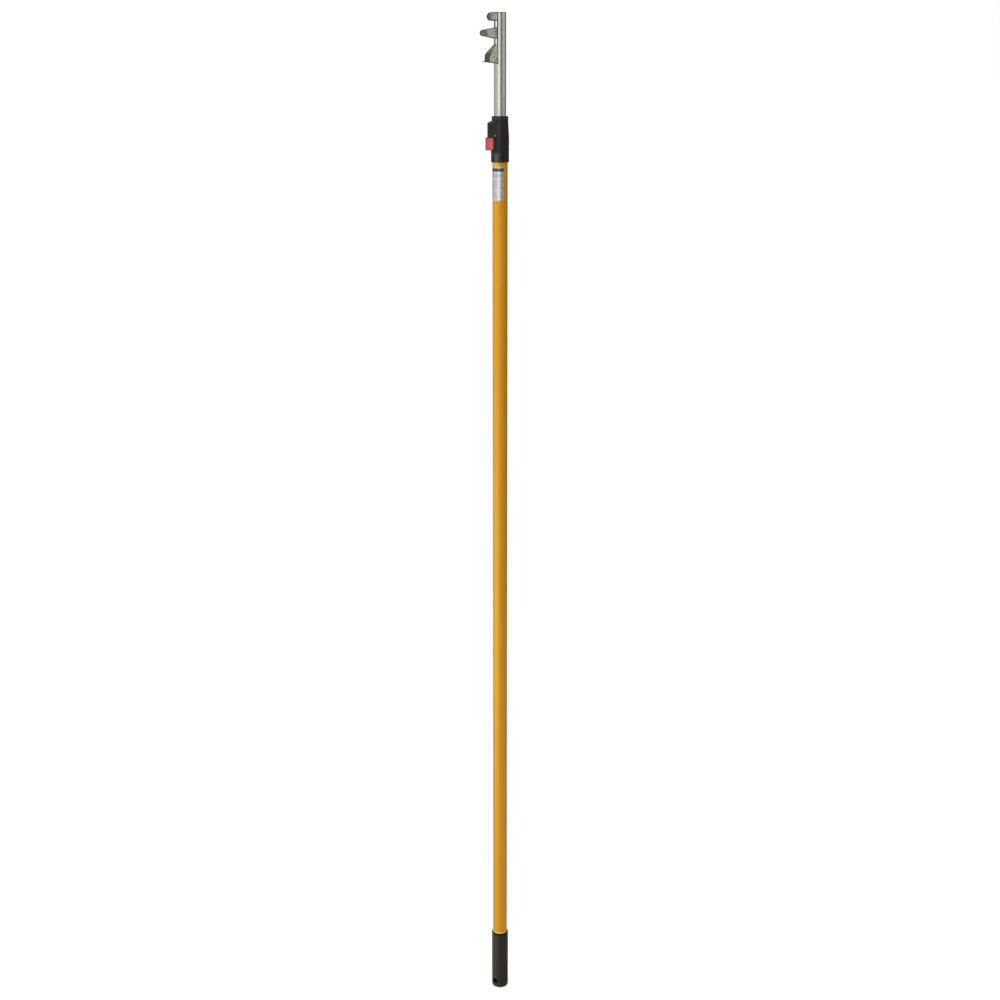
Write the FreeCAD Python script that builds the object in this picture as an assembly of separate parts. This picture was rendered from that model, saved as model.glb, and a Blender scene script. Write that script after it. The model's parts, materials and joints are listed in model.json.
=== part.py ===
import FreeCAD, Part
import math
import os

# Telescoping pole with a saw head bracket, in millimetres.
# The origin is the centre of the butt end's flat face. +Z runs up the pole.
# The lock and the saw head face -X. The front of the pole faces -Y.
# "drop" is a distance down from the top of the collar or from the top of the pole.

# ---- driving dimensions ----
POLE_TOP = 2182.5            # length of the collapsed pole
COLLAR_TOP = 1977.5
COLLAR_LENGTH = 93.0
TRAVEL = 1500.0              # how far the inner pole slides out
HOLE_PITCH = 125.0           # spacing of the lock holes

OUTER_R, OUTER_BORE_R = 16.0, 13.8
INNER_R, INNER_BORE_R = 12.5, 11.0
SLIDE_GAP = 0.3              # radial gap of every telescoping pair

GRIP_R, GRIP_LENGTH, GRIP_FOOT_ROUND = 18.5, 138.0, 6.0
HANG_HOLE_R, HANG_HOLE_Z, HANG_HOLE_ANGLE = 5.5, 17.5, 40.0
PLUG_FLANGE_Z, TUBE_FOOT_Z = 25.0, 28.0
BUFFER_Z, BUFFER_TOP = 52.0, 58.0

BUSH_LENGTH = 40.0
BUSH_FOOT_Z = 58.5           # underside of the lower guide bush, just above the buffer
INNER_FOOT_Z = 60.0

LABEL_HEIGHT, LABEL_FILM = 68.0, 0.12
LABEL_WRAP, LABEL_RIGHT = 160.0, 30.0   # degrees covered, and how far right of the front it starts

# collar, as drops below COLLAR_TOP
LIP_DROP, TAPER_DROP = 6.0, 9.0
COVER_DROP, SHOULDER_DROP = 8.6, 13.8
COVER_END_DROP = 42.5
PIN_DROP, PIVOT_DROP = 21.0, 39.0
LEDGE_DROP, MOUTH_DROP, TUBE_END_DROP = 50.0, 51.0, 52.5
SPRING_DROP, PADDLE_END_DROP = 59.5, 68.5
FERRULE_DROP = 71.0

LIP_R, BARREL_R, SKIRT_R = 17.2, 16.9, 18.8
CORE_FACE_X, CORE_STEP_X, CORE_FLAT_Y = -15.5, -6.5, 12.2
COVER_FACE_X, COVER_HALF_Y = -26.0, 16.4
COVER_WALL, COVER_CAVITY_Y = 1.4, 14.8
SKIRT_FLAT_X, SKIRT_FLAT_Y = -7.0, 14.7

PIVOT_X, PIVOT_R, PIVOT_RUN = -10.0, 1.5, 0.05
PADDLE_FACE_X, PADDLE_WALL, PADDLE_EDGE_X = -30.0, 3.0, -12.0
PADDLE_IN_Y, PADDLE_OUT_Y, PADDLE_CROWN_X = 15.0, 16.9, -18.5
CHEEK_IN_Y, CHEEK_OUT_Y = 12.4, 14.6
FORK_X, FORK_T = -19.0, 1.4

LOCK_R, LOCK_TIP_X, LOCK_END_X = 3.0, -10.2, -21.7
LOCK_NECK_R, LOCK_NECK_HALF = 2.0, 1.5
LOCK_HOLE_R = 3.4

GROOVE_Y, GROOVE_R, KEY_R = 12.9, 1.7, 1.4

# saw head plates, as drops below POLE_TOP
SHEET = 1.6
SLOT_HALF = 1.0              # half of the slot for the blade's tang
WRAP_FROM, WRAP_TO, NECK_TO = 16.3, 41.0, 26.0   # degrees round the tube from the front
EAR_END = 16.8
TONGUE_START, TONGUE_AXIS, TONGUE_END = 29.5, 40.5, 51.8
FIN_START, FIN_KNEE, FIN_END = 61.3, 79.5, 102.0
BOLT_HOLE_R, BOLT_HOLE_X = 2.6, -33.5
EAR_AXIS = 8.4
RIVET_ANGLE = 28.5
RIVET_DROPS = (EAR_AXIS, TONGUE_AXIS, 73.0, 93.0)

X_AXIS = FreeCAD.Vector(1, 0, 0)
Y_AXIS = FreeCAD.Vector(0, 1, 0)
Z_AXIS = FreeCAD.Vector(0, 0, 1)
ORIGIN = FreeCAD.Vector(0, 0, 0)


# ---- small helpers ----
def vec(x, y, z):
    return FreeCAD.Vector(x, y, z)


def collar_z(drop):
    return COLLAR_TOP - drop


def head_z(drop):
    return POLE_TOP - drop


def rod(radius, z_low, z_high, x=0.0, y=0.0):
    """A vertical solid cylinder."""
    return Part.makeCylinder(radius, z_high - z_low, vec(x, y, z_low))


def pipe(outer, inner, z_low, z_high):
    return rod(outer, z_low, z_high).cut(rod(inner, z_low, z_high))


def cross_rod(radius, start, end):
    """A solid cylinder from one point to another."""
    line = end - start
    return Part.makeCylinder(radius, line.Length, start, line)


def block(x, y, z):
    """A box from three (low, high) pairs."""
    return Part.makeBox(x[1] - x[0], y[1] - y[0], z[1] - z[0], vec(x[0], y[0], z[0]))


def turned(profile):
    """A solid of revolution about the pole's axis, from (radius, z) points."""
    points = [vec(r, 0, z) for r, z in profile]
    face = Part.Face(Part.makePolygon(points + points[:1]))
    return face.revolve(ORIGIN, Z_AXIS, 360)


def side_prism(outline, y_low, y_high):
    """A prism along Y from an outline of (x, z) points."""
    points = [vec(x, y_low, z) for x, z in outline]
    face = Part.Face(Part.makePolygon(points + points[:1]))
    return face.extrude(vec(0, y_high - y_low, 0))


def both_sides(shape):
    """The shape and its mirror image across the XZ plane."""
    return [shape, shape.mirror(ORIGIN, Y_AXIS)]


def fuse(shapes):
    whole = shapes[0].multiFuse(shapes[1:]) if len(shapes) > 1 else shapes[0]
    return whole.removeSplitter()


def rounded(shape, radius, wanted):
    """Fillet the edges that wanted(edge) picks."""
    edges = [edge for edge in shape.Edges if wanted(edge)]
    return shape.makeFillet(radius, edges) if edges else shape


def is_ring(edge, radius, z, tolerance=0.01):
    curve = edge.Curve
    if not isinstance(curve, Part.Circle) or abs(curve.Radius - radius) > tolerance:
        return False
    return abs(edge.CenterOfMass.z - z) < tolerance and abs(curve.Axis.z) > 0.9


def radial(angle, radius, z):
    """A point at an angle round the pole, in degrees from the front towards -X."""
    turn = math.radians(angle)
    return vec(-radius * math.sin(turn), -radius * math.cos(turn), z)


# ---- outer pole ----
def outer_tube():
    return pipe(OUTER_R, OUTER_BORE_R, TUBE_FOOT_Z, collar_z(TUBE_END_DROP))


def hang_hole():
    reach = GRIP_R + 5
    return cross_rod(HANG_HOLE_R, radial(HANG_HOLE_ANGLE, reach, HANG_HOLE_Z),
                     radial(HANG_HOLE_ANGLE + 180, reach, HANG_HOLE_Z))


def is_hole_rim(edge):
    """True for the two edges where the hang hole leaves the grip."""
    middle = edge.CenterOfMass
    spread = edge.BoundBox.DiagonalLength
    return abs(middle.z - HANG_HOLE_Z) < 0.5 and 2 * HANG_HOLE_R < spread < 3 * HANG_HOLE_R


def end_grip():
    sleeve = rod(GRIP_R, 0, GRIP_LENGTH)
    sleeve = rounded(sleeve, GRIP_FOOT_ROUND, lambda e: is_ring(e, GRIP_R, 0))
    sleeve = rounded(sleeve, 1.0, lambda e: is_ring(e, GRIP_R, GRIP_LENGTH))
    sleeve = sleeve.cut(hang_hole())
    sleeve = rounded(sleeve, 1.0, is_hole_rim)
    return sleeve.cut(rod(OUTER_R, PLUG_FLANGE_Z, GRIP_LENGTH))


def foot_plug():
    cup = turned([
        (0, PLUG_FLANGE_Z), (OUTER_R - 0.2, PLUG_FLANGE_Z), (OUTER_R - 0.2, TUBE_FOOT_Z),
        (OUTER_BORE_R, TUBE_FOOT_Z), (OUTER_BORE_R, BUFFER_Z), (10, BUFFER_Z),
        (10, TUBE_FOOT_Z + 3), (0, TUBE_FOOT_Z + 3),
    ])
    return cup


def buffer_pad():
    stem = BUFFER_Z - 12
    return turned([
        (0, stem), (10, stem), (10, BUFFER_Z), (13, BUFFER_Z), (13, BUFFER_TOP - 1),
        (12, BUFFER_TOP), (0, BUFFER_TOP),
    ])


def label():
    """A thin film round the front and left of the tube, just under the collar."""
    top = collar_z(COLLAR_LENGTH + 9.5)
    foot = top - LABEL_HEIGHT
    ring = pipe(OUTER_R + LABEL_FILM, OUTER_R, foot, top)
    wedge = Part.makeCylinder(20, LABEL_HEIGHT, vec(0, 0, foot), Z_AXIS, LABEL_WRAP)
    wedge.rotate(ORIGIN, Z_AXIS, -90 + LABEL_RIGHT - LABEL_WRAP)
    return ring.common(wedge)


# ---- collar ----
def mouth_bush():
    """Lines the tube's mouth. Its key runs in the inner tube's groove, its foot is the end stop."""
    bore = INNER_R + SLIDE_GAP
    foot, tube_end, top = collar_z(TUBE_END_DROP + 28.5), collar_z(TUBE_END_DROP), collar_z(MOUTH_DROP)
    sleeve = fuse([pipe(OUTER_BORE_R, bore, foot, tube_end), pipe(OUTER_R, bore, tube_end, top)])
    key = rod(KEY_R, foot, top, 0, GROOVE_Y).common(rod(OUTER_BORE_R - 0.4, foot, top))
    return fuse([sleeve, key])


def wiper_ring():
    foot, top = collar_z(3.5), collar_z(0)
    return turned([(INNER_R + 0.1, foot + 1.2), (13.6, foot), (14.6, foot), (14.6, top - 0.4),
                   (13.6, top), (INNER_R + 0.1, top - 1.6)])


def housing_core_cut():
    """What is taken off the barrel's left side to make room for the lever and the cover."""
    low, high = collar_z(LEDGE_DROP), collar_z(COVER_DROP)
    beyond = -SKIRT_R - 2
    left = block((beyond, CORE_FACE_X), (-20, 20), (low, high))
    flat = block((beyond, CORE_STEP_X), (CORE_FLAT_Y, 20), (low, high))
    return fuse([left] + both_sides(flat))


def screw_places():
    return [(side * 8.5, collar_z(33.5)) for side in (-1, 1)]


def lock_housing():
    skirt_top = collar_z(COVER_END_DROP)
    foot = collar_z(FERRULE_DROP)
    barrel = turned([
        (0, foot), (SKIRT_R, foot), (SKIRT_R, skirt_top), (BARREL_R, collar_z(TAPER_DROP)),
        (BARREL_R, collar_z(LIP_DROP + 0.6)), (LIP_R, collar_z(LIP_DROP)),
        (LIP_R, collar_z(0.8)), (LIP_R - 0.8, COLLAR_TOP), (0, COLLAR_TOP),
    ])
    barrel = barrel.cut(housing_core_cut())
    skirt_flat = block((-20, SKIRT_FLAT_X), (SKIRT_FLAT_Y, 20), (foot, collar_z(LEDGE_DROP)))
    for piece in both_sides(skirt_flat):
        barrel = barrel.cut(piece)
    pin_z = collar_z(PIN_DROP)
    additions = [cross_rod(5.5, vec(-14, 0, pin_z), vec(-16.6, 0, pin_z))]
    for y, z in screw_places():
        additions.append(cross_rod(2.4, vec(-13.5, y, z), vec(COVER_FACE_X + COVER_WALL, y, z)))
    body = fuse([barrel] + additions)
    hollow = [
        rod(INNER_R + SLIDE_GAP, foot, COLLAR_TOP),
        rod(14.6, collar_z(3.5), COLLAR_TOP),
        rod(OUTER_R, foot, collar_z(MOUTH_DROP)),
        cross_rod(LOCK_R + 0.05, vec(-5, 0, pin_z), vec(-17, 0, pin_z)),
        cross_rod(3.9, vec(-17.6, 0, collar_z(SPRING_DROP)), vec(-20, 0, collar_z(SPRING_DROP))),
    ]
    hollow += pivot_shanks()
    hollow += cover_screw_list()
    for cutter in hollow:
        body = body.cut(cutter)
    return body


def pivot_shanks():
    z = collar_z(PIVOT_DROP)
    return both_sides(cross_rod(PIVOT_R, vec(PIVOT_X, 10.0, z), vec(PIVOT_X, COVER_HALF_Y, z)))


def pivot_pins():
    pins = []
    z = collar_z(PIVOT_DROP)
    for side, shank in zip((1, -1), pivot_shanks()):
        head = Part.makeCone(PIVOT_R, PIVOT_R - 0.5, 0.4, vec(PIVOT_X, side * COVER_HALF_Y, z),
                             vec(0, side, 0))
        pins.append(fuse([shank, head]))
    return Part.makeCompound(pins)


def cover_screw_list():
    screws = []
    face = COVER_FACE_X + 0.2
    for y, z in screw_places():
        shank = cross_rod(1.25, vec(face + 0.5, y, z), vec(-16.5, y, z))
        head = Part.makeCone(2.5, 1.25, 1.2, vec(face, y, z), X_AXIS)
        screws.append(fuse([head, shank]))
    return screws


def cover_screws():
    screws = []
    face = COVER_FACE_X + 0.2
    for screw, (y, z) in zip(cover_screw_list(), screw_places()):
        recess = [block((face, face + 0.6), (y - 1.5, y + 1.5), (z - 0.3, z + 0.3)),
                  block((face, face + 0.6), (y - 0.3, y + 0.3), (z - 1.5, z + 1.5))]
        screws.append(screw.cut(recess[0]).cut(recess[1]))
    return Part.makeCompound(screws)


def cover_outline(inset, top_wall, foot_drop):
    """The bump seen from the front: a slope, an upright face and an open foot."""
    top, shoulder = COVER_DROP + top_wall, SHOULDER_DROP + top_wall
    right = CORE_STEP_X - 0.1 if inset == 0 else CORE_STEP_X + 1
    return [(right, collar_z(top)), (-LIP_R + 0.8, collar_z(top)),
            (COVER_FACE_X + inset, collar_z(shoulder)),
            (COVER_FACE_X + inset, collar_z(foot_drop)), (right, collar_z(foot_drop))]


def cover_skin():
    """The outside of the bump: rounded uprights, sloped shoulders and small grip ribs."""
    skin = side_prism(cover_outline(0, 0, COVER_END_DROP), -COVER_HALF_Y, COVER_HALF_Y)

    def upright(edge):
        box = edge.BoundBox
        return box.XLength < 0.01 and box.YLength < 0.01 and abs(box.XMin - COVER_FACE_X) < 0.01

    skin = rounded(skin, 2.6, upright)
    low, high, shoulder = collar_z(COVER_END_DROP + 1), collar_z(COVER_DROP - 1), 2.4
    corner = [vec(0, COVER_HALF_Y + 1, high), vec(0, COVER_HALF_Y - shoulder - 1, high),
              vec(0, COVER_HALF_Y + 1, high - 2 - shoulder)]
    wedge = Part.Face(Part.makePolygon(corner + corner[:1])).extrude(vec(-40, 0, 0))
    for piece in both_sides(wedge):
        skin = skin.cut(piece)
    ribs = []
    for drop in (18.0, 21.0, 24.0):
        for side in (-1, 1):
            middle = side * COVER_HALF_Y
            ribs.append(block((-22.0, -12.5), (middle - 0.4, middle + 0.4),
                              (collar_z(drop + 1.3), collar_z(drop))))
    return fuse([skin] + ribs)


def lock_cover():
    cavity = side_prism(cover_outline(COVER_WALL, 1.8, COVER_END_DROP + 1),
                        -COVER_CAVITY_Y, COVER_CAVITY_Y)
    core = block((CORE_FACE_X, 0), (-CORE_FLAT_Y, CORE_FLAT_Y),
                 (collar_z(LEDGE_DROP), collar_z(COVER_DROP - 1)))
    shell = cover_skin().cut(cavity).cut(core)
    for cutter in pivot_shanks() + cover_screw_list():
        shell = shell.cut(cutter)
    # the screw heads sit in open recesses, so the skin outside them is cleared too
    for y, z in screw_places():
        shell = shell.cut(cross_rod(2.5, vec(COVER_FACE_X - 1, y, z), vec(COVER_FACE_X + 0.2, y, z)))
    return shell


def collar_ferrule():
    foot, top = collar_z(COLLAR_LENGTH), collar_z(FERRULE_DROP)
    ring = turned([(OUTER_R, foot + 0.6), (OUTER_R + 0.6, foot), (SKIRT_R - 1.2, foot),
                   (SKIRT_R, foot + 1.2), (SKIRT_R, top - 0.4), (SKIRT_R - 0.4, top),
                   (OUTER_R, top)])
    return ring


def collar_rivet_list():
    rivets = []
    z = collar_z(FERRULE_DROP + 11)
    for angle in (135, 225):
        outward = radial(angle, 1, 0)
        shank = cross_rod(1.6, radial(angle, OUTER_BORE_R + 0.05, z), radial(angle, SKIRT_R, z))
        head = Part.makeCone(3.2, 2.0, 1.2, radial(angle, SKIRT_R - 0.2, z), outward)
        rivets.append(fuse([shank, head]))
    return rivets


# ---- lock ----
def lever_cheek():
    """The plate inside the cover, from the fork down past the pivot to the paddle."""
    arm = [(-19.7, 15.0), (-16.4, 15.0), (-14.5, 27.0), (-9.4, 35.9), (-9.4, 40.5),
           (-12.4, 43.0), (-12.4, 48.8), (-27.5, 48.8), (-27.5, 43.4), (-22.0, 43.4), (-19.7, 36.0)]
    outline = [(x, collar_z(drop)) for x, drop in arm]
    plate = side_prism(outline, CHEEK_IN_Y, CHEEK_OUT_Y)
    z = collar_z(PIVOT_DROP)
    eye = cross_rod(3.1, vec(PIVOT_X, CHEEK_IN_Y, z), vec(PIVOT_X, CHEEK_OUT_Y, z))
    return fuse([plate, eye])


def paddle_section(z):
    """The paddle from above: its sides swell a little towards the middle of the hand's grip."""
    half = [(PADDLE_EDGE_X, PADDLE_IN_Y), (PADDLE_EDGE_X, PADDLE_OUT_Y - 0.4), (PADDLE_CROWN_X, PADDLE_OUT_Y),
            (PADDLE_FACE_X, PADDLE_OUT_Y - 0.9)]
    outline = half + [(x, -y) for x, y in reversed(half)]
    outline += [(PADDLE_FACE_X + PADDLE_WALL, -PADDLE_IN_Y), (PADDLE_FACE_X + PADDLE_WALL, PADDLE_IN_Y)]
    points = [vec(x, y, z) for x, y in outline]
    return Part.Face(Part.makePolygon(points + points[:1]))


def lever_paddle():
    """A thumb paddle: an outer wall with two side walls that straddle the skirt."""
    low, high = collar_z(PADDLE_END_DROP), collar_z(COVER_END_DROP + 0.4)
    body = paddle_section(low).extrude(vec(0, 0, high - low))

    def upright_at(x):
        return lambda e: (e.BoundBox.ZLength > 20 and abs(e.BoundBox.XMin - x) < 0.01
                          and abs(e.CenterOfMass.y) > PADDLE_IN_Y + 0.3)

    def outer_rim(edge):
        box = edge.BoundBox
        flat = box.ZLength < 0.01 and abs(box.ZMin - low) < 0.01
        outside = box.YMax > PADDLE_IN_Y + 0.05 or box.YMin < -PADDLE_IN_Y - 0.05
        return flat and outside and box.XMax < PADDLE_EDGE_X - 0.5 or (
            flat and box.XMax < PADDLE_FACE_X + 0.01)

    body = rounded(body, 3.2, upright_at(PADDLE_FACE_X))
    body = rounded(body, 1.2, upright_at(PADDLE_EDGE_X))
    body = rounded(body, 1.1, outer_rim)
    for step in range(5):
        z = high - 5.0 - 4.0 * step
        groove = block((PADDLE_FACE_X - 1, PADDLE_FACE_X + 0.6), (-12.5, 12.5), (z - 0.8, z + 0.8))
        body = body.cut(groove)
    return body


def lock_lever():
    cheeks = both_sides(lever_cheek())
    link = block((-27.5, PADDLE_EDGE_X - 1.6), (CHEEK_IN_Y, PADDLE_IN_Y + 0.6),
                 (collar_z(48.8), collar_z(COVER_END_DROP + 0.4)))
    half = FORK_T / 2
    web = block((FORK_X - half, FORK_X + half), (-CHEEK_OUT_Y, CHEEK_OUT_Y),
                (collar_z(28.0), collar_z(15.0)))
    nub = cross_rod(2.4, vec(PADDLE_FACE_X + PADDLE_WALL - 0.5, 0, collar_z(SPRING_DROP)),
                    vec(PADDLE_FACE_X + PADDLE_WALL + 1.6, 0, collar_z(SPRING_DROP)))
    lever = fuse(cheeks + both_sides(link) + [web, lever_paddle(), nub])
    slot_end = collar_z(PIN_DROP + 0.2)
    slot = fuse([block((FORK_X - 2, FORK_X + 2), (-2.3, 2.3), (slot_end, collar_z(14.0))),
                 cross_rod(2.3, vec(FORK_X - 2, 0, slot_end), vec(FORK_X + 2, 0, slot_end))])
    z = collar_z(PIVOT_DROP)
    eyes = cross_rod(PIVOT_R + PIVOT_RUN, vec(PIVOT_X, -18, z), vec(PIVOT_X, 18, z))
    return lever.cut(slot).cut(eyes)


def lock_pin():
    z = collar_z(PIN_DROP)
    neck_in, neck_out = FORK_X + LOCK_NECK_HALF, FORK_X - LOCK_NECK_HALF
    parts = [
        Part.makeCone(LOCK_R - 0.8, LOCK_R, 0.8, vec(LOCK_TIP_X, 0, z), vec(-1, 0, 0)),
        cross_rod(LOCK_R, vec(LOCK_TIP_X - 0.8, 0, z), vec(neck_in, 0, z)),
        cross_rod(LOCK_NECK_R, vec(neck_in, 0, z), vec(neck_out, 0, z)),
        cross_rod(LOCK_R, vec(neck_out, 0, z), vec(LOCK_END_X, 0, z)),
    ]
    return fuse(parts)


def lever_spring():
    """A compression spring along X between the skirt and the paddle."""
    wire, coil_r, turns = 0.4, 3.1, 5
    start, end = -17.6 - wire, PADDLE_FACE_X + PADDLE_WALL + wire
    length = start - end
    helix = Part.makeHelix(length / turns, length, coil_r)
    circle = Part.Wire(Part.Edge(Part.Circle(vec(coil_r, 0, 0), Y_AXIS, wire)))
    coil = Part.Wire(helix).makePipeShell([circle], True, True)
    coil.rotate(ORIGIN, Y_AXIS, -90)
    coil.translate(vec(start, 0, collar_z(SPRING_DROP)))
    return coil


# ---- inner pole ----
def grooved_rod(radius, groove_r, z_low, z_high):
    return rod(radius, z_low, z_high).cut(rod(groove_r, z_low, z_high, 0, GROOVE_Y))


def bush_feet():
    """The foot height of the lower and upper guide bush. The upper one meets the mouth bush."""
    stop = collar_z(TUBE_END_DROP + 28.5)
    return INNER_FOOT_Z, stop - TRAVEL - 0.5 - BUSH_LENGTH


def bush_rivet_list():
    rivets = []
    for foot in bush_feet():
        z = foot + BUSH_LENGTH / 2
        for side in (-1, 1):
            rivets.append(cross_rod(1.3, vec(side * 10.7, 0, z), vec(side * 13.2, 0, z)))
    return rivets


def inner_tube():
    tube = grooved_rod(INNER_R, GROOVE_R, INNER_FOOT_Z, POLE_TOP)
    tube = tube.cut(grooved_rod(INNER_BORE_R, GROOVE_R + INNER_R - INNER_BORE_R,
                                INNER_FOOT_Z, POLE_TOP))
    for step in range(int(TRAVEL / HOLE_PITCH) + 1):
        z = collar_z(PIN_DROP) - step * HOLE_PITCH
        tube = tube.cut(cross_rod(LOCK_HOLE_R, vec(-8, 0, z), vec(-14, 0, z)))
    for rivet in bush_rivet_list() + head_rivet_list():
        tube = tube.cut(rivet)
    return tube


def guide_bush(index):
    foot = bush_feet()[index]
    outer = OUTER_BORE_R - SLIDE_GAP
    bush = pipe(outer, INNER_R, foot, foot + BUSH_LENGTH)
    if index == 0:
        bush = fuse([bush, pipe(outer, 9.0, BUSH_FOOT_Z, foot)])
    for rivet in bush_rivet_list():
        bush = bush.cut(rivet)
    # open the recess over each rivet
    z = foot + BUSH_LENGTH / 2
    return bush.cut(cross_rod(1.3, vec(-14, 0, z), vec(-13, 0, z))).cut(
        cross_rod(1.3, vec(13, 0, z), vec(14, 0, z)))


def top_plug():
    foot, top = POLE_TOP - 22, POLE_TOP - 1
    cup = grooved_rod(INNER_BORE_R, GROOVE_R + INNER_R - INNER_BORE_R, foot, top)
    cup = cup.cut(grooved_rod(9.3, 5.0, foot - 1, top - 2.5))
    for rivet in head_rivet_list():
        cup = cup.cut(rivet)
    return cup


# ---- saw head ----
def sheet_wire(fold, end, z):
    """The front plate's section: round the tube, then a web to the fold, then a flange."""
    def inner(angle):
        return radial(angle, INNER_R, z)

    def outer(angle):
        return radial(angle, INNER_R + SHEET, z)

    middle = (WRAP_FROM + WRAP_TO) / 2
    fold_in, end_in = vec(fold[0], fold[1], z), vec(end[0], end[1], z)
    away = vec(0, -SHEET, 0)
    corners = [inner(WRAP_TO), fold_in, end_in, end_in + away, fold_in + away + vec(-0.5, 0, 0),
               outer(WRAP_TO)]
    edges = [Part.Arc(inner(WRAP_FROM), inner(middle), inner(WRAP_TO)).toShape()]
    edges += [Part.makeLine(a, b) for a, b in zip(corners, corners[1:])]
    edges.append(Part.Arc(outer(WRAP_TO), outer(middle), outer(WRAP_FROM)).toShape())
    edges.append(Part.makeLine(outer(WRAP_FROM), inner(WRAP_FROM)))
    return Part.Wire(edges)


def straight_sheet(fold_x, end_x, drop_low, drop_high):
    wire = sheet_wire((fold_x, -SLOT_HALF), (end_x, -SLOT_HALF), head_z(drop_low))
    return Part.Face(wire).extrude(vec(0, 0, drop_low - drop_high))


def wrap_strip(angle_to, drop_low, drop_high):
    """A strip of the plate that only follows the tube: the neck between two ears."""
    low, high = head_z(drop_low), head_z(drop_high)
    ring = pipe(INNER_R + SHEET, INNER_R, low, high)
    wedge = Part.makeCylinder(20, high - low, vec(0, 0, low), Z_AXIS, angle_to - WRAP_FROM)
    wedge.rotate(ORIGIN, Z_AXIS, -90 - angle_to)
    return ring.common(wedge)


def ear_window():
    """The outline of the top ear: straight, with a round end."""
    r = EAR_END / 2
    bar = side_prism([(0, head_z(0)), (-18.7, head_z(0)), (-18.7, head_z(EAR_END)),
                      (0, head_z(EAR_END))], -20, 0)
    return fuse([bar, cross_rod(r, vec(-18.7, -20, head_z(r)), vec(-18.7, 0, head_z(r)))])


def tongue_window():
    """The outline of the middle tongue: it tapers to a round nose."""
    nose_x, nose_r = -35.4, 6.0
    z = head_z(TONGUE_AXIS)
    taper = side_prism([(0, head_z(TONGUE_START)), (-10, head_z(TONGUE_START)),
                        (nose_x - 1, z + nose_r - 0.1), (nose_x - 1, z - nose_r + 0.1),
                        (-10, head_z(TONGUE_END)), (0, head_z(TONGUE_END))], -20, 0)
    return fuse([taper, cross_rod(nose_r, vec(nose_x, -20, z), vec(nose_x, 0, z))])


def fin_window():
    """The outline of the lower fin: a slanted shoulder and an upright edge."""
    return side_prism([(0, head_z(FIN_START)), (-11.3, head_z(FIN_START)),
                       (-29.5, head_z(81)), (-31.2, head_z(85)), (-31.5, head_z(97.3)),
                       (0, head_z(FIN_END))], -20, 0)


def head_plate_front():
    ear = straight_sheet(-18.5, -30, EAR_END, 0).common(ear_window())
    tongue = straight_sheet(-27.0, -45, TONGUE_END, TONGUE_START).common(tongue_window())
    narrow = sheet_wire((-11.2, -6.8), (-16.0, -4.2), head_z(FIN_START))
    wide = sheet_wire((-20.5, -SLOT_HALF), (-34.0, -SLOT_HALF), head_z(FIN_KNEE))
    shoulder = Part.makeLoft([narrow, wide], True, True)
    fin = fuse([shoulder, straight_sheet(-20.5, -34.0, FIN_END, FIN_KNEE)]).common(fin_window())
    necks = [wrap_strip(NECK_TO, TONGUE_START + 0.5, EAR_END - 0.5),
             wrap_strip(NECK_TO, FIN_START + 0.5, TONGUE_END - 0.5)]
    plate = fuse([ear, tongue, fin] + necks)
    for rivet in head_rivet_list():
        plate = plate.cut(rivet)
    return plate


def head_plate_back(front):
    """The mirror image of the front plate, with the blade screw's hole and a small corner tab."""
    plate = front.mirror(ORIGIN, Y_AXIS)
    tab = side_prism([(-29.0, head_z(97.6)), (-36.5, head_z(98.4)), (-36.5, head_z(96.8)),
                      (-29.0, head_z(95.6))], SLOT_HALF, SLOT_HALF + SHEET)
    z = head_z(TONGUE_AXIS)
    hole = cross_rod(BOLT_HOLE_R, vec(BOLT_HOLE_X, 0, z), vec(BOLT_HOLE_X, 20, z))
    return plate.fuse(tab).cut(hole)


def head_rivet_list():
    """Blind rivets, flush with the plates and swollen inside the tube."""
    rivets = []
    for drop in RIVET_DROPS:
        z = head_z(drop)
        skin = INNER_R + SHEET
        inward = radial(RIVET_ANGLE, -1, 0)
        head = Part.makeCone(2.3, 1.6, SHEET, radial(RIVET_ANGLE, skin, z), inward)
        shank = cross_rod(1.6, radial(RIVET_ANGLE, INNER_R + 0.2, z),
                          radial(RIVET_ANGLE, INNER_BORE_R - 1.5, z))
        swell = cross_rod(2.2, radial(RIVET_ANGLE, INNER_BORE_R - 0.3, z),
                          radial(RIVET_ANGLE, INNER_BORE_R - 1.5, z))
        rivets += both_sides(fuse([head, shank, swell]))
    return rivets


def build():
    front_plate = head_plate_front()
    rivets = collar_rivet_list()
    tube, ferrule = outer_tube(), collar_ferrule()
    for rivet in rivets:
        tube = tube.cut(rivet)
        ferrule = ferrule.cut(rivet)
    return {
        "outer_tube": tube,
        "end_grip": end_grip(),
        "foot_plug": foot_plug(),
        "buffer_pad": buffer_pad(),
        "label": label(),
        "mouth_bush": mouth_bush(),
        "wiper_ring": wiper_ring(),
        "lock_housing": lock_housing(),
        "lock_cover": lock_cover(),
        "cover_screws": cover_screws(),
        "pivot_pins": pivot_pins(),
        "collar_ferrule": ferrule,
        "collar_rivets": Part.makeCompound(rivets),
        "lever_spring": lever_spring(),
        "lock_lever": lock_lever(),
        "lock_pin": lock_pin(),
        "inner_tube": inner_tube(),
        "lower_guide_bush": guide_bush(0),
        "upper_guide_bush": guide_bush(1),
        "bush_rivets": Part.makeCompound(bush_rivet_list()),
        "top_plug": top_plug(),
        "head_plate_front": front_plate,
        "head_plate_back": head_plate_back(front_plate),
        "head_rivets": Part.makeCompound(head_rivet_list()),
    }


os.makedirs("parts", exist_ok=True)
for name, shape in build().items():
    shape.exportStep("parts/" + name + ".step")
    print(name, len(shape.Solids), "solids", shape.isValid(), round(shape.Volume, 1), "mm3")
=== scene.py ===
import json
import math

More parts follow.
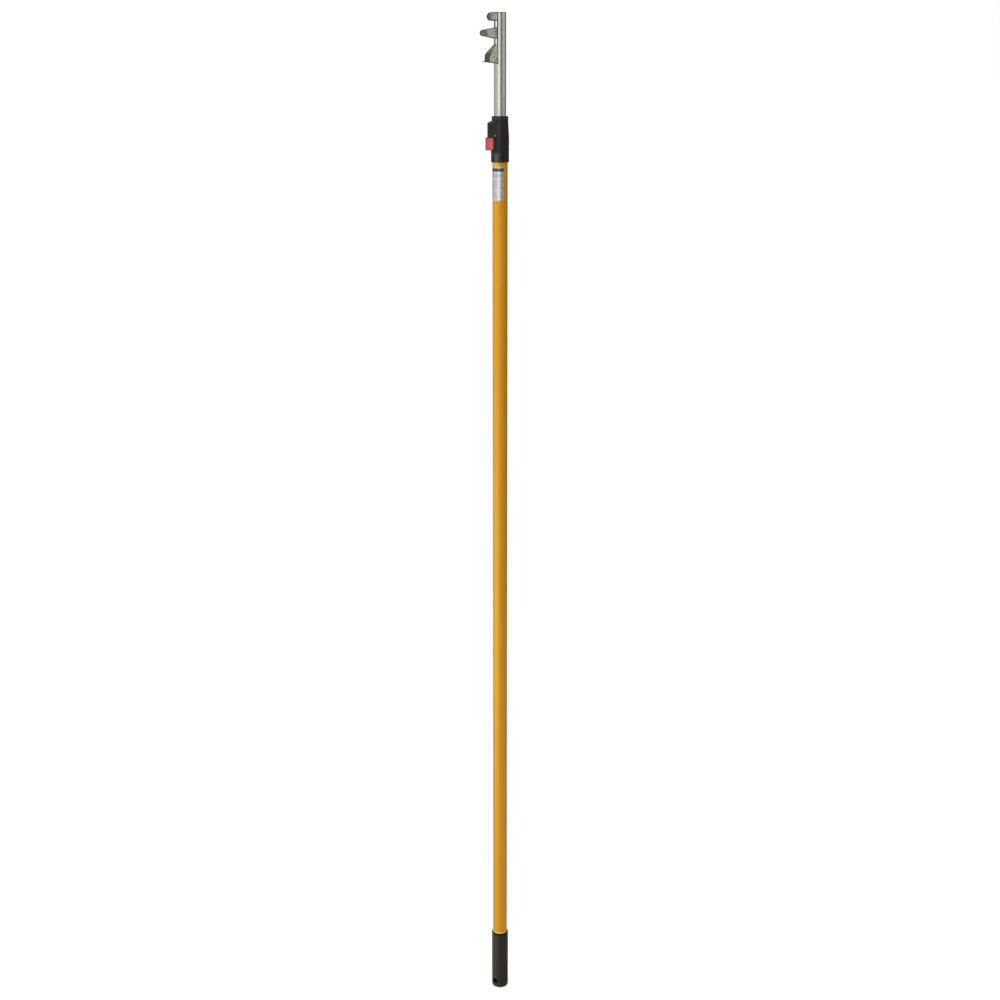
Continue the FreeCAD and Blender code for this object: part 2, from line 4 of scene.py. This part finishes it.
import bpy
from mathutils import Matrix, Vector


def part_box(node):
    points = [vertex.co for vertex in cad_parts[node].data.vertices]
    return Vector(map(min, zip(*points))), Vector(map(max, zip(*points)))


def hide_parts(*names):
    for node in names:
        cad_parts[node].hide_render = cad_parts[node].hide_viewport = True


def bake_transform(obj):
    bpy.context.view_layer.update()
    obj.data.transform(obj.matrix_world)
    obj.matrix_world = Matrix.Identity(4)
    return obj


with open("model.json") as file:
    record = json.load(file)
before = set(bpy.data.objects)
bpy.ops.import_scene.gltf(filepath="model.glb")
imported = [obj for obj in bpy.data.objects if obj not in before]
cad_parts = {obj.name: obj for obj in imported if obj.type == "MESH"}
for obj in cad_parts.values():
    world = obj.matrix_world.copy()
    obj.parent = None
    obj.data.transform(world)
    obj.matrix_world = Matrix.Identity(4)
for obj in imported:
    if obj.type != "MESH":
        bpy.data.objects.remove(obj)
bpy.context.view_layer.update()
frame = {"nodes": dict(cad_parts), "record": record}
NODES = frame["nodes"]

# Places on the object that its finishes refer to, in metres.
GRIP_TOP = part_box("end_grip")[1][2]
RING_FOOT, RING_TOP = (corner[2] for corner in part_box("collar_ferrule"))
PADDLE_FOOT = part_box("lock_lever")[0][2]
COLLAR_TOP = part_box("lock_housing")[1][2]
LABEL_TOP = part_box("label")[1][2]
POLE_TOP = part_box("inner_tube")[1][2]

HANG_HOLE_Z, HANG_HOLE_R, HANG_HOLE_TURN = 0.0175, 0.0055, math.radians(40)

# The saw head's plates, an ear, a tongue and a fin with gaps between, as x and drops below POLE_TOP.
EAR_AXIS, EAR_FOOT, EAR_END_X, EAR_RIM_R = 0.0084, 0.0168, -0.0187, 0.0064
TONGUE_AXIS, TONGUE_END_X = 0.0405, -0.0354
FIN_HEAD, FIN_FLANGE = 0.0615, 0.0790
UPPER_GAP, LOWER_GAP = 0.0220, 0.0560
NECKS = ((0.0170, 0.0293), (0.0520, 0.0613))
TUBE_NOTCHES = ((0.0165, 0.0300), (0.0515, 0.0625))

CAMERA_PLACE, CAMERA_TILT = (0.0, -3.512, 2.0315), 13.85
CAMERA_LENS, CAMERA_SENSOR = 60.0, 36.0
AIM = Vector((0, 0, 1.1))    # where the overhead box points
FLOOR_HALF = 60.0


# ---- stage ----
def make_camera():
    """A view of the whole upright pole, from a little above its collar."""
    data = bpy.data.cameras.new("camera")
    data.lens = CAMERA_LENS
    data.sensor_width = CAMERA_SENSOR
    camera = bpy.data.objects.new("camera", data)
    camera.location = CAMERA_PLACE
    camera.rotation_euler = (math.radians(90 - CAMERA_TILT), 0, 0)
    bpy.context.scene.collection.objects.link(camera)
    bpy.context.scene.camera = camera


def round_the_pole(azimuth, distance, height):
    """A place round the pole. Azimuth 0 is the front, and positive turns to the right."""
    turn = math.radians(azimuth)
    return Vector((distance * math.sin(turn), -distance * math.cos(turn), height))


def soft_box(name, azimuth, distance, height, size, watts, color):
    """An upright soft box that faces the pole."""
    data = bpy.data.lights.new(name, "AREA")
    data.shape = "RECTANGLE"
    data.size, data.size_y = size
    data.energy = watts
    data.color = color
    lamp = bpy.data.objects.new(name, data)
    lamp.location = round_the_pole(azimuth, distance, height)
    lamp.rotation_euler = (math.radians(90), 0, math.radians(azimuth))
    lamp.visible_camera = False
    bpy.context.scene.collection.objects.link(lamp)
    return lamp


def overhead_box(name, azimuth, distance, height, size, watts, color):
    """A high soft box, aimed at the middle of the pole."""
    lamp = soft_box(name, azimuth, distance, height, size, watts, color)
    lamp.rotation_euler = (AIM - lamp.location).to_track_quat("-Z", "Y").to_euler()


def rectangle(name, corners):
    """An object of one four-sided face."""
    mesh = bpy.data.meshes.new(name)
    mesh.from_pydata(corners, [], [(0, 1, 2, 3)])
    made = bpy.data.objects.new(name, mesh)
    bpy.context.scene.collection.objects.link(made)
    return made


def dark_card(name, azimuth, distance, size, shade):
    """An upright card of (width, foot, top) that gives the bright studio some contrast."""
    wide, low, high = size[0] / 2, size[1], size[2]
    card = rectangle(name, [(-wide, 0, low), (wide, 0, low), (wide, 0, high), (-wide, 0, high)])
    card.location = round_the_pole(azimuth, distance, 0)
    card.rotation_euler = (0, 0, math.radians(azimuth))
    card.visible_camera = False
    card.data.materials.append(Graph(name, color=shade, rough=0.9).material)


def make_lights():
    """Two soft boxes light the left front, and grey cards darken the sides of the tubes."""
    soft_box("key", -19.5, 2.6, 1.5, (0.88, 3.0), 13.0, (1.0, 0.99, 0.97))
    overhead_box("overhead_left", -62, 3.2, 3.8, (2.0, 2.0), 48, (1.0, 0.99, 0.975))
    dark_card("flag_front", 30, 2.6, (1.15, 0.5, 3.7), (0.18, 0.165, 0.14))
    dark_card("flag_side", 136, 2.6, (2.8, 0.3, 3.7), (0.13, 0.12, 0.10))
    dark_card("flag_left", -128, 2.8, (2.0, 0.4, 3.7), (0.50, 0.50, 0.49))
    dark_card("flag_low", 80, 2.3, (3.2, 0.12, 1.75), (0.13, 0.125, 0.115))
    dark_card("flag_high", 88, 2.9, (5.2, 3.1, 5.6), (0.05, 0.05, 0.05))


def make_world():
    world = bpy.data.worlds.new("studio")
    world.use_nodes = True
    background = world.node_tree.nodes["Background"]
    background.inputs["Color"].default_value = (1, 1, 1, 1)
    background.inputs["Strength"].default_value = 1.0
    bpy.context.scene.world = world
    bpy.context.scene.view_settings.view_transform = "Standard"


def make_floor():
    """A pale floor that glows a little, so that it stays as white as the world."""
    half = FLOOR_HALF
    floor = rectangle("floor", [(-half, -half, 0), (half, -half, 0), (half, half, 0), (-half, half, 0)])
    paint = Graph("pale_floor", rough=1.0, shine=0.0)
    speckle = paint.noise(paint.place(1.0), 40.0, 3)
    paint.plug("Base Color", paint.ramp(speckle, [(0.3, (0.25, 0.25, 0.25)), (0.7, (0.27, 0.27, 0.27))]))
    paint.set("Emission Color", (1, 1, 1, 1))
    paint.set("Emission Strength", 0.86)
    floor.data.materials.append(paint.material)


# ---- materials ----
class Graph:
    """One material's nodes, in object space, so that patterns have a real size in metres."""

    def __init__(self, name, color=(0.5, 0.5, 0.5), rough=0.5, metal=0.0, shine=0.5):
        self.material = bpy.data.materials.new(name)
        self.material.use_nodes = True
        self.tree = self.material.node_tree
        self.shader = self.tree.nodes["Principled BSDF"]
        self.set("Base Color", (*color, 1))
        self.set("Roughness", rough)
        self.set("Metallic", metal)
        self.set("Specular IOR Level", shine)
        self.coordinates = self.tree.nodes.new("ShaderNodeTexCoord").outputs["Object"]

    def set(self, socket, value):
        self.shader.inputs[socket].default_value = value

    def plug(self, socket, output):
        self.tree.links.new(output, self.shader.inputs[socket])

    def node(self, kind, links=(), **settings):
        made = self.tree.nodes.new(kind)
        for key, value in settings.items():
            setattr(made, key, value)
        for socket, source in links:
            if isinstance(source, bpy.types.NodeSocket):
                self.tree.links.new(source, made.inputs[socket])
            else:
                made.inputs[socket].default_value = source
        return made

    # patterns
    def place(self, *scale):
        """Object space, stretched by one scale or by one for each axis."""
        scale = scale * 3 if len(scale) == 1 else scale
        return self.node("ShaderNodeMapping", [("Vector", self.coordinates),
                                               ("Scale", scale)]).outputs[0]

    def axis(self, name):
        return self.node("ShaderNodeSeparateXYZ", [("Vector", self.coordinates)]).outputs[name]

    def drop(self, top):
        """How far a point lies below a height."""
        return self.math("SUBTRACT", top, self.axis("Z"))

    def noise(self, where, scale, detail=4, rough=0.55, warp=0.0):
        return self.node("ShaderNodeTexNoise", [("Vector", where), ("Scale", scale), ("Detail", detail),
                                                ("Roughness", rough), ("Distortion", warp)]).outputs["Fac"]

    def cells(self, scale, output="Distance"):
        return self.node("ShaderNodeTexVoronoi", [("Vector", self.place(1.0)),
                                                  ("Scale", scale)]).outputs[output]

    # sums and masks
    def math(self, operation, a, b=0.0, c=0.0):
        return self.node("ShaderNodeMath", [(0, a), (1, b), (2, c)], operation=operation).outputs[0]

    def times(self, first, *others):
        for other in others:
            first = self.math("MULTIPLY", first, other)
        return first

    def largest(self, first, *others):
        for other in others:
            first = self.math("MAXIMUM", first, other)
        return first

    def line(self, value, slope, start):
        return self.math("MULTIPLY_ADD", value, slope, start)

    def distance(self, a, b):
        return self.math("SQRT", self.math("ADD", self.times(a, a), self.times(b, b)))

    def past_bar(self, x, drop, end, axis):
        """The distance from a bar's line, which lies at a drop and ends at an x."""
        away = self.math("MINIMUM", self.math("SUBTRACT", x, end), 0.0)
        return self.distance(away, self.math("SUBTRACT", drop, axis))

    def above(self, value, limit, soft=0.0004):
        """1 where value is over the limit, with a soft step."""
        return self.node("ShaderNodeMapRange", [("Value", value), ("From Min", limit - soft),
                                                ("From Max", limit + soft)],
                         interpolation_type="SMOOTHSTEP").outputs[0]

    def below(self, value, limit, soft=0.0004):
        return self.math("SUBTRACT", 1.0, self.above(value, limit, soft))

    def between(self, value, low, high, soft=0.00015):
        return self.times(self.above(value, low, soft), self.below(value, high, soft))

    def within(self, value, pairs):
        """1 where value lies between the limits of any pair."""
        return self.largest(*(self.between(value, low, high) for low, high in pairs))

    # color, gloss and relief
    def ramp(self, value, stops):
        made = self.node("ShaderNodeValToRGB", [("Fac", value)])
        elements = made.color_ramp.elements
        for element, (position, color) in zip(elements, stops, strict=True):
            element.position = position
            element.color = (*color, 1) if isinstance(color, tuple) else (color, color, color, 1)
        return made.outputs["Color"]

    def mix(self, factor, a, b, blend="MIX"):
        made = self.node("ShaderNodeMix", data_type="RGBA", blend_type=blend)
        for socket, source in ((0, factor), (6, a), (7, b)):
            if isinstance(source, bpy.types.NodeSocket):
                self.tree.links.new(source, made.inputs[socket])
            else:
                made.inputs[socket].default_value = (*source, 1) if isinstance(source, tuple) else source
        return made.outputs[2]

    def tint(self, color, mask, share, shade):
        """Turns a share of the color into the shade where the mask is 1."""
        return self.mix(self.times(mask, share), color, shade)

    def roughness(self, pattern, low, high):
        self.plug("Roughness", self.ramp(pattern, [(0.3, low), (0.7, high)]))

    def relief(self, height, distance, strength, edge_radius=None):
        """Fine relief. An edge radius also rounds the look of sharp edges."""
        links = [("Height", height), ("Distance", distance), ("Strength", strength)]
        if edge_radius:
            rounded = self.node("ShaderNodeBevel", [("Radius", edge_radius)], samples=8)
            links.append(("Normal", rounded.outputs["Normal"]))
        self.plug("Normal", self.node("ShaderNodeBump", links).outputs["Normal"])


BLACK_NYLON = [(0.3, (0.0060, 0.0055, 0.0046)), (0.7, (0.0115, 0.0106, 0.0092))]


def yellow_fibreglass():
    """Golden fibreglass, with a painted highlight along its left front, a paler band just above the grip,
    and more painted highlight just under the collar's ring on the left front.
    """
    g = Graph("yellow_fibreglass", shine=0.2)
    strands = g.noise(g.place(900, 900, 6), 1.0, 5, 0.6)
    clouds = g.noise(g.place(14, 14, 3.5), 1.0, 3)
    color = g.ramp(strands, [(0.30, (0.430, 0.184, 0.0030)), (0.62, (0.512, 0.231, 0.0050))])
    color = g.mix(g.ramp(clouds, [(0.35, 0.0), (0.75, 0.30)]), color, (0.44, 0.222, 0.012))
    scuffs = g.ramp(g.noise(g.place(260, 260, 34), 1.0, 6, 0.7, 0.6), [(0.64, 0.0), (0.72, 1.0)])
    color = g.tint(color, scuffs, 0.14, (0.66, 0.42, 0.10))
    x, z = g.axis("X"), g.axis("Z")
    # painted highlight: the left front is painted paler, most in the middle of the pole's height
    middle = g.line(g.between(z, 0.55, 1.25, 0.35), 0.62, 0.38)
    painted_left_highlight = g.times(g.between(x, -0.0125, -0.0030, 0.0024), middle)
    color = g.tint(color, painted_left_highlight, 0.9, (0.585, 0.318, 0.022))
    # a paler band just above the grip, and a painted highlight just under the collar's ring on the left
    # front
    by_grip = g.between(z, GRIP_TOP, GRIP_TOP + 0.0032, 0.0005)
    painted_ring_highlight = g.times(painted_left_highlight, g.between(z, RING_FOOT - 0.009, RING_FOOT, 0.001))
    color = g.tint(color, g.math("ADD", by_grip, painted_ring_highlight), 0.75, (0.82, 0.54, 0.13))
    g.plug("Base Color", color)
    g.roughness(g.noise(g.place(40, 40, 9), 1.0, 5), 0.32, 0.46)
    g.relief(strands, 0.00012, 0.5)
    return g.material


def tube_aluminium():
    """Drawn aluminium, with painted shade and a painted highlight in the notches of the saw head, and
    darker along its top edge.
    """
    g = Graph("tube_aluminium", metal=1.0)
    draw_lines = g.noise(g.place(1100, 1100, 5), 1.0, 4, 0.6)
    stains = g.noise(g.place(30, 30, 12), 1.0)
    color = g.ramp(draw_lines, [(0.3, (0.395, 0.378, 0.342)), (0.7, (0.435, 0.418, 0.382))])
    color = g.mix(g.ramp(stains, [(0.45, 0.0), (0.75, 0.3)]), color, (0.36, 0.35, 0.325))
    x, drop = g.axis("X"), g.drop(POLE_TOP)
    notches = g.within(drop, TUBE_NOTCHES)
    # painted shade on the tube's left edge in the notches
    painted_notch_shade = g.times(notches, g.below(x, -0.0096, 0.0008))
    color = g.tint(color, painted_notch_shade, 0.85, (0.07, 0.07, 0.08))
    # painted highlight: a bright strip on the tube in the notches
    painted_notch_highlight = g.times(notches, g.between(x, -0.0088, -0.0048, 0.0006))
    color = g.tint(color, painted_notch_highlight, 0.9, (0.86, 0.86, 0.85))
    # darker along the tube's top edge
    dark_top_rim = g.below(drop, 0.0014, 0.0005)
    color = g.tint(color, dark_top_rim, 0.6, (0.05, 0.05, 0.048))
    g.plug("Base Color", color)
    g.roughness(stains, 0.20, 0.32)
    g.relief(draw_lines, 0.00002, 0.25)
    return g.material


def black_plastic(name="black_plastic", shine=0.24, rough=(0.40, 0.58)):
    g = Graph(name, shine=shine)
    g.plug("Base Color", g.ramp(g.noise(g.place(1.0), 60.0), BLACK_NYLON))
    g.roughness(g.noise(g.place(1.0), 140.0, 5), *rough)
    g.relief(g.cells(1500.0), 0.00008, 0.5, 0.0005)
    return g.material


def collar_plastic():
    """The housing and cover: painted shade on the lip, and painted highlights under the lip and along the
    cover's slanted top.
    """
    g = Graph("black_plastic_collar", shine=0.24)
    color = g.ramp(g.noise(g.place(1.0), 60.0), BLACK_NYLON)
    x, drop = g.axis("X"), g.drop(COLLAR_TOP)
    # painted shade on the collar's top lip
    lip = g.between(drop, -0.0010, 0.0026, 0.0006)
    color = g.tint(color, lip, 0.7, (0.0015, 0.0013, 0.0010))
    # painted highlights: a pale row under the lip and a pale line along the cover's slope
    under_lip = g.times(g.between(drop, 0.0034, 0.0052, 0.0006), g.below(x, 0.014, 0.002))
    along_slope = g.line(x, 0.6, drop)
    on_slope = g.times(g.between(along_slope, 0.0004, 0.0027, 0.0006),
                       g.between(x, -0.0195, -0.0115, 0.0015))
    painted_collar_highlights = g.largest(on_slope, g.times(under_lip, 0.45))
    color = g.tint(color, painted_collar_highlights, 0.7, (0.095, 0.092, 0.090))
    g.plug("Base Color", color)
    g.roughness(g.noise(g.place(1.0), 140.0, 5), 0.40, 0.58)
    g.relief(g.cells(1500.0), 0.00008, 0.5, 0.0005)
    return g.material


def painted_sheen_black_plastic():
    """The collar's lowest ring, with a painted grey highlight on its left front."""
    g = Graph("black_plastic_painted_sheen", shine=0.24)
    # painted highlight: a soft grey band on the ring's left front
    from_front = g.math("ARCTAN2", g.axis("X"), g.times(g.axis("Y"), -1.0))
    left = g.above(from_front, math.radians(-35), math.radians(11))
    right = g.below(from_front, math.radians(-12), math.radians(12))
    low = g.below(g.axis("Z"), RING_TOP - 0.004, 0.004)
    clouds = g.noise(g.place(1.0), 90.0)
    color = g.ramp(clouds, BLACK_NYLON)
    g.plug("Base Color", g.tint(color, g.times(left, right, low), 0.85, (0.069, 0.063, 0.061)))
    g.roughness(clouds, 0.34, 0.5)
    g.relief(g.cells(1500.0), 0.00006, 0.4, 0.0005)
    return g.material


def grip_rubber():
    """Black rubber, painted a lighter grey along its left side as a highlight, with painted shade round
    the hang hole, and darker at its mouth.
    """
    g = Graph("grip_rubber", shine=0.12)
    dust = g.noise(g.place(60, 60, 22), 1.0, 6, 0.65)
    black = g.ramp(dust, [(0.35, (0.0140, 0.0128, 0.0090)), (0.75, (0.0205, 0.0190, 0.0140))])
    grey = g.ramp(dust, [(0.35, (0.0370, 0.0312, 0.0262)), (0.75, (0.0460, 0.0390, 0.0335))])
    x, y, z = g.axis("X"), g.axis("Y"), g.axis("Z")
    # painted highlight: the left side of the grip is mixed to a lighter grey
    color = g.mix(g.below(x, -0.0055, 0.0090), black, grey)
    aside = g.math("SUBTRACT", g.times(x, math.cos(HANG_HOLE_TURN)), g.times(y, math.sin(HANG_HOLE_TURN)))
    from_hole = g.distance(aside, g.math("SUBTRACT", z, HANG_HOLE_Z))
    # painted shade round the hang hole; the grip is also darker at its mouth
    hole_rim = g.below(from_hole, HANG_HOLE_R + 0.0013, 0.0006)
    mouth = g.above(z, GRIP_TOP - 0.0040, 0.0012)
    color = g.tint(color, g.largest(hole_rim, mouth), 0.8, (0.0045, 0.0035, 0.0025))
    g.plug("Base Color", color)
    g.roughness(dust, 0.55, 0.75)
    g.relief(g.noise(g.place(1.0), 1800.0, 3), 0.0001, 0.6, 0.0005)
    return g.material


def red_plastic():
    """Red nylon, with painted shade round the edges of the paddle's side and a painted highlight along a
    band.
    """
    g = Graph("red_plastic")
    clouds = g.noise(g.place(1.0), 90.0)
    color = g.ramp(clouds, [(0.3, (0.43, 0.021, 0.026)), (0.7, (0.53, 0.036, 0.040))])
    x, z = g.axis("X"), g.axis("Z")
    # painted highlight: a pale band down the paddle's side
    painted_band_highlight = g.between(x, -0.0186, -0.0158, 0.0008)
    color = g.tint(color, painted_band_highlight, 0.32, (0.62, 0.25, 0.26))
    side_wall = g.above(g.math("ABSOLUTE", g.axis("Y")), 0.0136, 0.0010)
    paddle_side = g.times(g.below(z, PADDLE_FOOT + 0.0262, 0.0004), side_wall)
    # painted shade round the edges of the paddle's side wall
    rims = ((g.below(x, -0.0274, 0.0012), 0.78),
            (g.above(x, -0.0148, 0.0009), 0.88),
            (g.above(z, PADDLE_FOOT + 0.0234, 0.0010), 0.75),
            (g.below(z, PADDLE_FOOT + 0.0024, 0.0010), 0.80))
    for mask, share in rims:
        color = g.tint(color, g.times(mask, paddle_side), share, (0.080, 0.006, 0.007))
    g.plug("Base Color", color)
    g.roughness(g.noise(g.place(1.0), 240.0, 5), 0.3, 0.45)
    g.relief(g.cells(1300.0), 0.00005, 0.4, 0.0006)
    return g.material


def ear_shadows(g, x, ragged, drop):
    """The ear's dark end and its round rim."""
    ear = g.times(g.below(ragged, -0.0195, 0.0034), g.below(drop, UPPER_GAP))
    rim = g.times(g.above(g.past_bar(x, drop, EAR_END_X, EAR_AXIS), EAR_RIM_R, 0.0006),
                  g.below(drop, EAR_FOOT))
    return [(ear, 0.80), (rim, 0.85)]


def tongue_shadows(g, x, ragged, drop):
    """The tongue's dark end, a painted dark mark for the shade of a hole beside its axis, its seat by the
    tube and its tapered rim.
    """
    rows = g.times(g.above(drop, UPPER_GAP), g.below(drop, LOWER_GAP))
    end = g.times(g.below(ragged, -0.0262, 0.0022), rows)
    # painted shade: a dark mark standing in for a hole's shade beside the tongue's axis
    painted_hole_mark = g.times(g.between(x, -0.0285, -0.0245, 0.0010), g.between(drop, 0.0402, 0.0442, 0.0010))
    seat = g.times(g.above(ragged, -0.0096, 0.0022), rows)
    half_height = g.largest(g.line(x, 0.199, 0.01314), 0.006)
    past_outline = g.math("SUBTRACT", g.past_bar(x, drop, TONGUE_END_X, TONGUE_AXIS), half_height)
    rim = g.times(rows, g.above(past_outline, -0.0020, 0.0006))
    return [(end, 0.52), (painted_hole_mark, 0.75), (seat, 0.62), (rim, 0.85)]


def fin_shadows(g, x, drop, rows, from_fold):
    """The fin's folded strip and flange, its slanted brow, and its foot and outer edge."""
    strip = g.times(g.below(from_fold, 0.0), rows)
    flange = g.times(strip, g.above(drop, FIN_FLANGE, 0.006))
    past_slant = g.math("SUBTRACT", x, g.line(drop, -0.924, 0.04534))
    brow = g.times(g.below(past_slant, 0.0024, 0.0006), rows)
    foot = g.above(g.line(x, -0.149, drop), 0.1000, 0.0005)
    outer = g.times(g.below(x, -0.0296, 0.0005), rows)
    return [(strip, 0.45), (flange, 0.66), (brow, 0.78), (g.largest(foot, outer), 0.85)]


def zinc_plate():
    """Dull olive zinc, with painted shade on the plates' ends and flanges, where they wrap the tube, at
    the necks and at their rims, and a painted highlight along the fin's fold.
    """
    g = Graph("zinc_plate", metal=0.85)
    clouds = g.noise(g.place(1.0), 190.0, 5, 0.65, 0.5)
    color = g.ramp(clouds, [(0.33, (0.140, 0.147, 0.120)), (0.66, (0.290, 0.298, 0.244))])
    spangles = g.node("ShaderNodeRGBToBW", [("Color", g.cells(520.0, "Color"))]).outputs[0]
    color = g.mix(0.15, color, spangles, "OVERLAY")
    x, drop = g.axis("X"), g.drop(POLE_TOP)
    wobble = g.line(g.noise(g.place(1.0), 260.0, 5, 0.65), 0.016, -0.008)
    ragged = g.math("ADD", x, wobble)
    fin_rows = g.above(drop, FIN_HEAD)
    fold = g.largest(g.line(drop, -0.49, 0.0234), -0.0203)
    from_fold = g.math("SUBTRACT", x, fold)
    # painted highlight along the fin's fold
    painted_fold_highlight = g.times(g.between(from_fold, 0.0, 0.0016, 0.0004), fin_rows)
    color = g.tint(color, painted_fold_highlight, 0.5, (0.42, 0.44, 0.41))
    # painted shade where the plates wrap the tube and at the necks between them
    by_tube = g.above(x, -0.0056)
    shadows = (ear_shadows(g, x, ragged, drop) + tongue_shadows(g, x, ragged, drop)
               + fin_shadows(g, x, drop, fin_rows, from_fold)
               + [(by_tube, 0.66), (g.within(drop, NECKS), 0.70)])
    for mask, share in shadows:
        color = g.tint(color, mask, share, (0.026, 0.031, 0.030))
    g.plug("Base Color", color)
    g.roughness(g.noise(g.place(1.0), 300.0, 5), 0.36, 0.58)
    g.relief(g.noise(g.place(1.0), 900.0), 0.00008, 0.5, 0.0005)
    return g.material


def bright_metal(name, color, rough):
    g = Graph(name, metal=1.0)
    swirl = g.noise(g.place(1.0), 900.0)
    dark = tuple(0.8 * c for c in color)
    g.plug("Base Color", g.ramp(swirl, [(0.3, dark), (0.7, color)]))
    g.roughness(g.noise(g.place(1.0), 400.0), rough * 0.8, rough * 1.3)
    g.relief(swirl, 0.00004, 0.5)
    return g.material


def natural_plastic():
    g = Graph("natural_plastic")
    clouds = g.noise(g.place(1.0), 70.0)
    g.plug("Base Color", g.ramp(clouds, [(0.3, (0.56, 0.53, 0.46)), (0.7, (0.66, 0.64, 0.57))]))
    g.roughness(g.noise(g.place(1.0), 300.0), 0.32, 0.5)
    g.relief(clouds, 0.00005, 0.4)
    return g.material


def label_film():
    """Silver film with a plain dark band at its head and thin grey rules under it."""
    g = Graph("label_film", metal=0.85)
    brushed = g.noise(g.place(500, 500, 18), 1.0)
    color = g.ramp(brushed, [(0.3, (0.41, 0.415, 0.405)), (0.7, (0.49, 0.495, 0.485))])
    drop = g.drop(LABEL_TOP)
    band = g.between(drop, 0.0022, 0.0088)
    color = g.tint(color, band, 0.9, (0.022, 0.030, 0.030))
    rule_height = 0.0011
    rules = ((0.0150, 0.75), (0.0180, 0.35), (0.0285, 0.30), (0.0345, 0.22),
             (0.0405, 0.30), (0.0530, 0.25), (0.0590, 0.22))
    for place, share in rules:
        rule = g.between(drop, place, place + rule_height)
        color = g.tint(color, rule, share, (0.05, 0.055, 0.055))
    g.plug("Base Color", color)
    g.roughness(brushed, 0.3, 0.42)
    g.relief(brushed, 0.00003, 0.4)
    return g.material


def make_finishes():
    return {
        "yellow_fibreglass": yellow_fibreglass(),
        "grip_rubber": grip_rubber(),
        "natural_plastic": natural_plastic(),
        "seal_rubber": black_plastic("seal_rubber", 0.3, (0.5, 0.7)),
        "label_film": label_film(),
        "black_plastic": black_plastic(),
        "steel": bright_metal("steel", (0.26, 0.26, 0.25), 0.34),
        "spring_steel": bright_metal("spring_steel", (0.42, 0.42, 0.41), 0.3),
        "rivet_aluminium": bright_metal("rivet_aluminium", (0.66, 0.66, 0.64), 0.35),
        "red_plastic": red_plastic(),
        "tube_aluminium": tube_aluminium(),
        "zinc_plate": zinc_plate(),
    }


def paint_nodes(finishes):
    """Gives every CAD node the finish of its slot, and the collar its blacks with painted shade and
    highlights.
    """
    for part in frame["record"]["subparts"]:
        node = NODES[part["node"]]
        node.data.materials.clear()
        node.data.materials.append(finishes[part["material_slot"]])
    NODES["collar_ferrule"].data.materials[0] = painted_sheen_black_plastic()
    collar = collar_plastic()
    for name in ("lock_housing", "lock_cover"):
        NODES[name].data.materials[0] = collar


# ---- pieces ----
def tube_along(points, radius, sides=14):
    """Rings of vertices and faces for a round wire through the points."""
    verts, faces = [], []
    for i, here in enumerate(points):
        ahead = points[min(i + 1, len(points) - 1)] - points[max(i - 1, 0)]
        turn = ahead.to_track_quat("Z", "Y")
        for k in range(sides):
            angle = 2 * math.pi * k / sides
            verts.append(here + turn @ Vector((radius * math.cos(angle), radius * math.sin(angle), 0)))
    for i in range(len(points) - 1):
        for k in range(sides):
            a, b = i * sides + k, i * sides + (k + 1) % sides
            faces.append((a, b, b + sides, a + sides))
    last = (len(points) - 1) * sides
    faces.append(tuple(range(sides - 1, -1, -1)))
    faces.append(tuple(last + k for k in range(sides)))
    return verts, faces


def make_spring(finish):
    """The lever's spring, a coil of wire from its inner end on the housing to its outer end at the paddle.
    """
    low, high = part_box("lever_spring")
    wire, turns, steps = 0.0004, 5, 40      # the wire's radius, and the steps of one turn
    coil = (high[2] - low[2]) / 2 - wire
    middle = Vector((0, (low[1] + high[1]) / 2, (low[2] + high[2]) / 2))
    outer, seat = low[0] + wire, high[0] - wire
    points = []
    for i in range(turns * steps + 1):
        share = i / (turns * steps)
        angle = 2 * math.pi * turns * share
        points.append(middle + Vector((outer + (seat - outer) * share, coil * math.cos(angle),
                                       coil * math.sin(angle))))
    verts, faces = tube_along(points, wire)
    mesh = bpy.data.meshes.new("spring_coil")
    mesh.from_pydata(verts, [], faces)
    mesh.shade_smooth()
    spring = bpy.data.objects.new("spring_coil", mesh)
    bpy.context.scene.collection.objects.link(spring)
    mesh.materials.append(finish)
    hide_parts("lever_spring")
    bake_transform(spring)


make_camera()
make_world()
make_lights()
make_floor()
finishes = make_finishes()
paint_nodes(finishes)
make_spring(finishes["spring_steel"])
